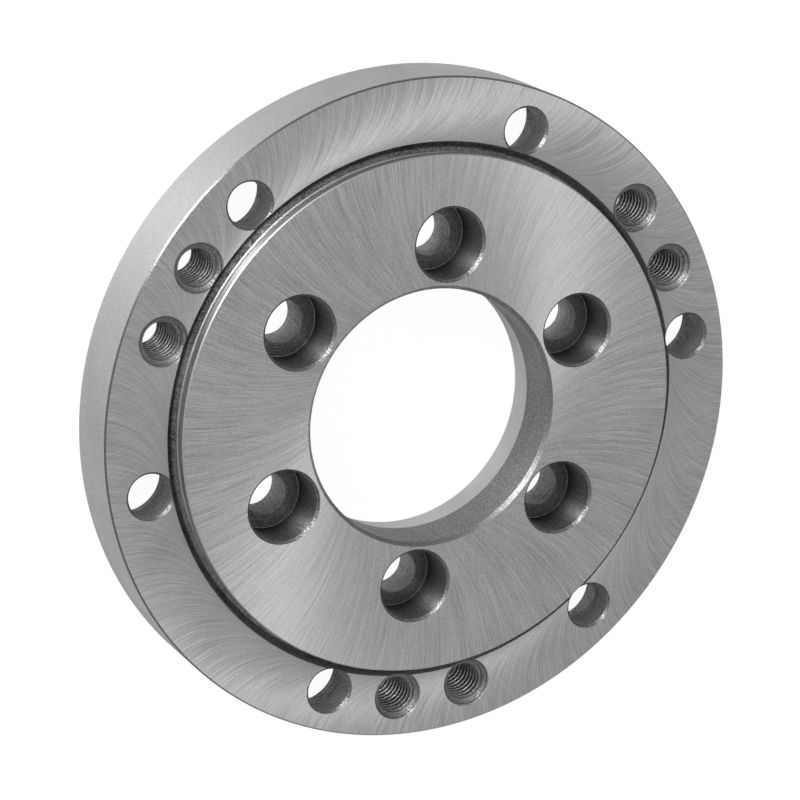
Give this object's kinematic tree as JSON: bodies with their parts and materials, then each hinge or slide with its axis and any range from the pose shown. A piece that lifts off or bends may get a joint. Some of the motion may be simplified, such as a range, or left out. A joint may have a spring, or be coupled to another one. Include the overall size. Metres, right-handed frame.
{
  "type": "chuck adapter plate",
  "caption": "Round steel plate with a raised register, counterbored and tapped screw holes and a short taper recess, which carries a lathe chuck on a spindle nose.",
  "frame": {"origin": "centre of the back face, on the axis", "axes": "+Z along the axis, from the spindle side to the chuck side; +X through the first tapped hole and the first spindle screw hole"},
  "size_m": [0.16, 0.16, 0.0204],
  "materials": {
    "ground_steel": "faces ground in fine curved arcs, rim and bore turned, holes drilled and tapped"
  },
  "bodies": {
    "root": {"adapter_plate": "ground_steel"}
  },
  "joints": []
}
